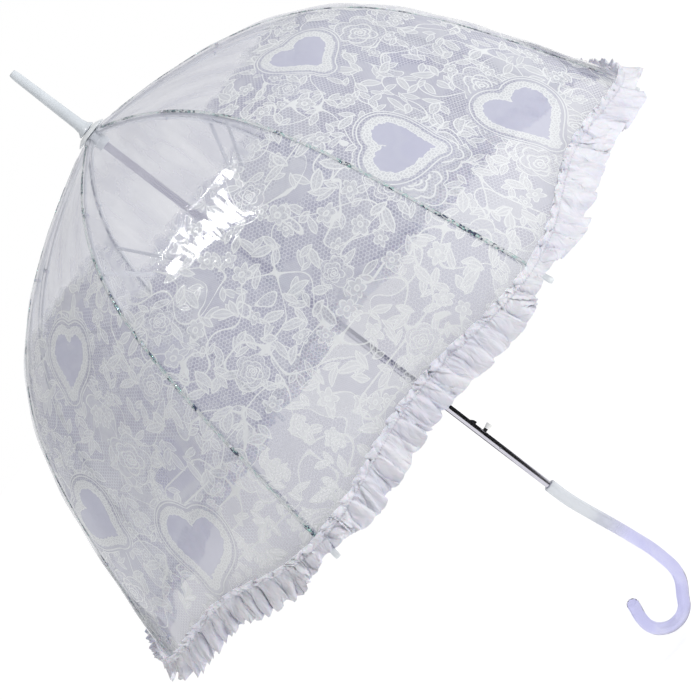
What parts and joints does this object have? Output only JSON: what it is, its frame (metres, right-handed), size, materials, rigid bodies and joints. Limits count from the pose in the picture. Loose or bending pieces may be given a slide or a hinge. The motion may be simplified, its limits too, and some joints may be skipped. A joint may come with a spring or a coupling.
{
  "type": "lace parasol",
  "caption": "Deep dome parasol of clear film printed with lace, with a gathered frill round its hem, sprung white ribs, a bright steel shaft and a clear crook handle.",
  "frame": {"origin": "on the shaft line at the middle of the hand grip", "axes": "+Z along the shaft from the grip to the ferrule; the crook turns towards -X and the latch button faces +X; panel middles lie on X and Y"},
  "size_m": [0.7212, 0.7212, 0.8798],
  "materials": {
    "lace_film": "clear glossy film with a printed white lace pattern",
    "frill": "gathered white satin ribbon",
    "white_plastic": "smooth moulded white plastic",
    "white_metal": "white coated spring wire",
    "polished_steel": "bright plated steel tube",
    "black_metal": "black coated steel",
    "button_plastic": "pale moulded plastic",
    "clear_handle": "tinted clear plastic, frosted towards the top"
  },
  "bodies": {
    "shaft": {"shaft": "polished_steel", "ferrule": "white_plastic", "crown": "white_plastic", "canopy_washer": "white_plastic", "handle": "clear_handle", "latch_pin": "polished_steel"},
    "runner": {"runner": "white_plastic"},
    "latch": {"latch_lever": "black_metal", "latch_button": "button_plastic"},
    "rib_1": {"rib_1": "white_metal", "rib_tip_1": "white_plastic"},
    "stretcher_1": {"stretcher_1": "white_metal"},
    "panel_1_left": {"canopy_panel_1_left": "lace_film"},
    "panel_1_right": {"canopy_panel_1_right": "lace_film"},
    "rib_2": {"rib_2": "white_metal", "rib_tip_2": "white_plastic"},
    "stretcher_2": {"stretcher_2": "white_metal"},
    "panel_2_left": {"canopy_panel_2_left": "lace_film"},
    "panel_2_right": {"canopy_panel_2_right": "lace_film"},
    "rib_3": {"rib_3": "white_metal", "rib_tip_3": "white_plastic"},
    "stretcher_3": {"stretcher_3": "white_metal"},
    "panel_3_left": {"canopy_panel_3_left": "lace_film"},
    "panel_3_right": {"canopy_panel_3_right": "lace_film"},
    "rib_4": {"rib_4": "white_metal", "rib_tip_4": "white_plastic"},
    "stretcher_4": {"stretcher_4": "white_metal"},
    "panel_4_left": {"canopy_panel_4_left": "lace_film"},
    "panel_4_right": {"canopy_panel_4_right": "lace_film"},
    "rib_5": {"rib_5": "white_metal", "rib_tip_5": "white_plastic"},
    "stretcher_5": {"stretcher_5": "white_metal"},
    "panel_5_left": {"canopy_panel_5_left": "lace_film"},
    "panel_5_right": {"canopy_panel_5_right": "lace_film"},
    "rib_6": {"rib_6": "white_metal", "rib_tip_6": "white_plastic"},
    "stretcher_6": {"stretcher_6": "white_metal"},
    "panel_6_left": {"canopy_panel_6_left": "lace_film"},
    "panel_6_right": {"canopy_panel_6_right": "lace_film"},
    "rib_7": {"rib_7": "white_metal", "rib_tip_7": "white_plastic"},
    "stretcher_7": {"stretcher_7": "white_metal"},
    "panel_7_left": {"canopy_panel_7_left": "lace_film"},
    "panel_7_right": {"canopy_panel_7_right": "lace_film"},
    "rib_8": {"rib_8": "white_metal", "rib_tip_8": "white_plastic"},
    "stretcher_8": {"stretcher_8": "white_metal"},
    "panel_8_left": {"canopy_panel_8_left": "lace_film"},
    "panel_8_right": {"canopy_panel_8_right": "lace_film"}
  },
  "joints": [
    {"name": "runner_slide", "type": "slide", "parent": "shaft", "child": "runner", "axis": [0, 0, -1], "range_m": [0, 0.2203], "stiffness_N_per_m": 30, "springref_m": -0.15},
    {"name": "latch_press", "type": "hinge", "parent": "shaft", "child": "latch", "pos_m": [0, 0, 0.129], "axis": [0, 1, 0], "range_deg": [-4.5, 0], "stiffness_Nm_per_rad": 0.15},
    {"name": "rib_fold_1", "type": "hinge", "parent": "shaft", "child": "rib_1", "pos_m": [0.01063, 0.0044, 0.638], "axis": [-0.3827, 0.9239, 0], "range_deg": [-0.5, 44.36]},
    {"name": "stretcher_fold_1", "type": "hinge", "parent": "runner", "child": "stretcher_1", "pos_m": [0.00878, 0.00364, 0.418], "axis": [-0.3827, 0.9239, 0], "range_deg": [-35.66, 0.5]},
    {"name": "panel_fold_1_left", "type": "hinge", "parent": "rib_1", "child": "panel_1_left", "pos_m": [0.00843, -0.09873, 0.6213], "axis": [-0.0124, -0.9876, -0.1568], "range_deg": [-0.5, 23.26], "deforming": ["canopy_panel_1_left"]},
    {"name": "panel_fold_1_right", "type": "hinge", "parent": "rib_1", "child": "panel_1_right", "pos_m": [-0.06385, 0.07577, 0.6213], "axis": [0.7071, -0.6895, 0.1568], "range_deg": [-0.5, 23.26], "deforming": ["canopy_panel_1_right"]},
    {"name": "rib_fold_2", "type": "hinge", "parent": "shaft", "child": "rib_2", "pos_m": [0.0044, 0.01063, 0.638], "axis": [-0.9239, 0.3827, 0], "range_deg": [-0.5, 44.36]},
    {"name": "stretcher_fold_2", "type": "hinge", "parent": "runner", "child": "stretcher_2", "pos_m": [0.00364, 0.00878, 0.418], "axis": [-0.9239, 0.3827, 0], "range_deg": [-35.66, 0.5]},
    {"name": "panel_fold_2_left", "type": "hinge", "parent": "rib_2", "child": "panel_2_left", "pos_m": [0.07577, -0.06385, 0.6213], "axis": [0.6895, -0.7071, -0.1568], "range_deg": [-0.5, 23.26], "deforming": ["canopy_panel_2_left"]},
    {"name": "panel_fold_2_right", "type": "hinge", "parent": "rib_2", "child": "panel_2_right", "pos_m": [-0.09873, 0.00843, 0.6213], "axis": [0.9876, 0.0124, 0.1568], "range_deg": [-0.5, 23.26], "deforming": ["canopy_panel_2_right"]},
    {"name": "rib_fold_3", "type": "hinge", "parent": "shaft", "child": "rib_3", "pos_m": [-0.0044, 0.01063, 0.638], "axis": [-0.9239, -0.3827, 0], "range_deg": [-0.5, 44.36]},
    {"name": "stretcher_fold_3", "type": "hinge", "parent": "runner", "child": "stretcher_3", "pos_m": [-0.00364, 0.00878, 0.418], "axis": [-0.9239, -0.3827, 0], "range_deg": [-35.66, 0.5]},
    {"name": "panel_fold_3_left", "type": "hinge", "parent": "rib_3", "child": "panel_3_left", "pos_m": [0.09873, 0.00843, 0.6213], "axis": [0.9876, -0.0124, -0.1568], "range_deg": [-0.5, 23.26], "deforming": ["canopy_panel_3_left"]},
    {"name": "panel_fold_3_right", "type": "hinge", "parent": "rib_3", "child": "panel_3_right", "pos_m": [-0.07577, -0.06385, 0.6213], "axis": [0.6895, 0.7071, 0.1568], "range_deg": [-0.5, 23.26], "deforming": ["canopy_panel_3_right"]},
    {"name": "rib_fold_4", "type": "hinge", "parent": "shaft", "child": "rib_4", "pos_m": [-0.01063, 0.0044, 0.638], "axis": [-0.3827, -0.9239, 0], "range_deg": [-0.5, 44.36]},
    {"name": "stretcher_fold_4", "type": "hinge", "parent": "runner", "child": "stretcher_4", "pos_m": [-0.00878, 0.00364, 0.418], "axis": [-0.3827, -0.9239, 0], "range_deg": [-35.66, 0.5]},
    {"name": "panel_fold_4_left", "type": "hinge", "parent": "rib_4", "child": "panel_4_left", "pos_m": [0.06385, 0.07577, 0.6213], "axis": [0.7071, 0.6895, -0.1568], "range_deg": [-0.5, 23.26], "deforming": ["canopy_panel_4_left"]},
    {"name": "panel_fold_4_right", "type": "hinge", "parent": "rib_4", "child": "panel_4_right", "pos_m": [-0.00843, -0.09873, 0.6213], "axis": [-0.0124, 0.9876, 0.1568], "range_deg": [-0.5, 23.26], "deforming": ["canopy_panel_4_right"]},
    {"name": "rib_fold_5", "type": "hinge", "parent": "shaft", "child": "rib_5", "pos_m": [-0.01063, -0.0044, 0.638], "axis": [0.3827, -0.9239, 0], "range_deg": [-0.5, 44.36]},
    {"name": "stretcher_fold_5", "type": "hinge", "parent": "runner", "child": "stretcher_5", "pos_m": [-0.00878, -0.00364, 0.418], "axis": [0.3827, -0.9239, 0], "range_deg": [-35.66, 0.5]},
    {"name": "panel_fold_5_left", "type": "hinge", "parent": "rib_5", "child": "panel_5_left", "pos_m": [-0.00843, 0.09873, 0.6213], "axis": [0.0124, 0.9876, -0.1568], "range_deg": [-0.5, 23.26], "deforming": ["canopy_panel_5_left"]},
    {"name": "panel_fold_5_right", "type": "hinge", "parent": "rib_5", "child": "panel_5_right", "pos_m": [0.06385, -0.07577, 0.6213], "axis": [-0.7071, 0.6895, 0.1568], "range_deg": [-0.5, 23.26], "deforming": ["canopy_panel_5_right"]},
    {"name": "rib_fold_6", "type": "hinge", "parent": "shaft", "child": "rib_6", "pos_m": [-0.0044, -0.01063, 0.638], "axis": [0.9239, -0.3827, 0], "range_deg": [-0.5, 44.36]},
    {"name": "stretcher_fold_6", "type": "hinge", "parent": "runner", "child": "stretcher_6", "pos_m": [-0.00364, -0.00878, 0.418], "axis": [0.9239, -0.3827, 0], "range_deg": [-35.66, 0.5]},
    {"name": "panel_fold_6_left", "type": "hinge", "parent": "rib_6", "child": "panel_6_left", "pos_m": [-0.07577, 0.06385, 0.6213], "axis": [-0.6895, 0.7071, -0.1568], "range_deg": [-0.5, 23.26], "deforming": ["canopy_panel_6_left"]},
    {"name": "panel_fold_6_right", "type": "hinge", "parent": "rib_6", "child": "panel_6_right", "pos_m": [0.09873, -0.00843, 0.6213], "axis": [-0.9876, -0.0124, 0.1568], "range_deg": [-0.5, 23.26], "deforming": ["canopy_panel_6_right"]},
    {"name": "rib_fold_7", "type": "hinge", "parent": "shaft", "child": "rib_7", "pos_m": [0.0044, -0.01063, 0.638], "axis": [0.9239, 0.3827, 0], "range_deg": [-0.5, 44.36]},
    {"name": "stretcher_fold_7", "type": "hinge", "parent": "runner", "child": "stretcher_7", "pos_m": [0.00364, -0.00878, 0.418], "axis": [0.9239, 0.3827, 0], "range_deg": [-35.66, 0.5]},
    {"name": "panel_fold_7_left", "type": "hinge", "parent": "rib_7", "child": "panel_7_left", "pos_m": [-0.09873, -0.00843, 0.6213], "axis": [-0.9876, 0.0124, -0.1568], "range_deg": [-0.5, 23.26], "deforming": ["canopy_panel_7_left"]},
    {"name": "panel_fold_7_right", "type": "hinge", "parent": "rib_7", "child": "panel_7_right", "pos_m": [0.07577, 0.06385, 0.6213], "axis": [-0.6895, -0.7071, 0.1568], "range_deg": [-0.5, 23.26], "deforming": ["canopy_panel_7_right"]},
    {"name": "rib_fold_8", "type": "hinge", "parent": "shaft", "child": "rib_8", "pos_m": [0.01063, -0.0044, 0.638], "axis": [0.3827, 0.9239, 0], "range_deg": [-0.5, 44.36]},
    {"name": "stretcher_fold_8", "type": "hinge", "parent": "runner", "child": "stretcher_8", "pos_m": [0.00878, -0.00364, 0.418], "axis": [0.3827, 0.9239, 0], "range_deg": [-35.66, 0.5]},
    {"name": "panel_fold_8_left", "type": "hinge", "parent": "rib_8", "child": "panel_8_left", "pos_m": [-0.06385, -0.07577, 0.6213], "axis": [-0.7071, -0.6895, -0.1568], "range_deg": [-0.5, 23.26], "deforming": ["canopy_panel_8_left"]},
    {"name": "panel_fold_8_right", "type": "hinge", "parent": "rib_8", "child": "panel_8_right", "pos_m": [0.00843, 0.09873, 0.6213], "axis": [0.0124, -0.9876, 0.1568], "range_deg": [-0.5, 23.26], "deforming": ["canopy_panel_8_right"]}
  ],
  "couplings": [
    {"joint": "rib_fold_1", "follows": "runner_slide", "rad_per_m": 3.4745},
    {"joint": "stretcher_fold_1", "follows": "runner_slide", "rad_per_m": -2.7854},
    {"joint": "panel_fold_1_left", "follows": "runner_slide", "rad_per_m": 1.8032},
    {"joint": "panel_fold_1_right", "follows": "runner_slide", "rad_per_m": 1.8032},
    {"joint": "rib_fold_2", "follows": "runner_slide", "rad_per_m": 3.4745},
    {"joint": "stretcher_fold_2", "follows": "runner_slide", "rad_per_m": -2.7854},
    {"joint": "panel_fold_2_left", "follows": "runner_slide", "rad_per_m": 1.8032},
    {"joint": "panel_fold_2_right", "follows": "runner_slide", "rad_per_m": 1.8032},
    {"joint": "rib_fold_3", "follows": "runner_slide", "rad_per_m": 3.4745},
    {"joint": "stretcher_fold_3", "follows": "runner_slide", "rad_per_m": -2.7854},
    {"joint": "panel_fold_3_left", "follows": "runner_slide", "rad_per_m": 1.8032},
    {"joint": "panel_fold_3_right", "follows": "runner_slide", "rad_per_m": 1.8032},
    {"joint": "rib_fold_4", "follows": "runner_slide", "rad_per_m": 3.4745},
    {"joint": "stretcher_fold_4", "follows": "runner_slide", "rad_per_m": -2.7854},
    {"joint": "panel_fold_4_left", "follows": "runner_slide", "rad_per_m": 1.8032},
    {"joint": "panel_fold_4_right", "follows": "runner_slide", "rad_per_m": 1.8032},
    {"joint": "rib_fold_5", "follows": "runner_slide", "rad_per_m": 3.4745},
    {"joint": "stretcher_fold_5", "follows": "runner_slide", "rad_per_m": -2.7854},
    {"joint": "panel_fold_5_left", "follows": "runner_slide", "rad_per_m": 1.8032},
    {"joint": "panel_fold_5_right", "follows": "runner_slide", "rad_per_m": 1.8032},
    {"joint": "rib_fold_6", "follows": "runner_slide", "rad_per_m": 3.4745},
    {"joint": "stretcher_fold_6", "follows": "runner_slide", "rad_per_m": -2.7854},
    {"joint": "panel_fold_6_left", "follows": "runner_slide", "rad_per_m": 1.8032},
    {"joint": "panel_fold_6_right", "follows": "runner_slide", "rad_per_m": 1.8032},
    {"joint": "rib_fold_7", "follows": "runner_slide", "rad_per_m": 3.4745},
    {"joint": "stretcher_fold_7", "follows": "runner_slide", "rad_per_m": -2.7854},
    {"joint": "panel_fold_7_left", "follows": "runner_slide", "rad_per_m": 1.8032},
    {"joint": "panel_fold_7_right", "follows": "runner_slide", "rad_per_m": 1.8032},
    {"joint": "rib_fold_8", "follows": "runner_slide", "rad_per_m": 3.4745},
    {"joint": "stretcher_fold_8", "follows": "runner_slide", "rad_per_m": -2.7854},
    {"joint": "panel_fold_8_left", "follows": "runner_slide", "rad_per_m": 1.8032},
    {"joint": "panel_fold_8_right", "follows": "runner_slide", "rad_per_m": 1.8032}
  ]
}
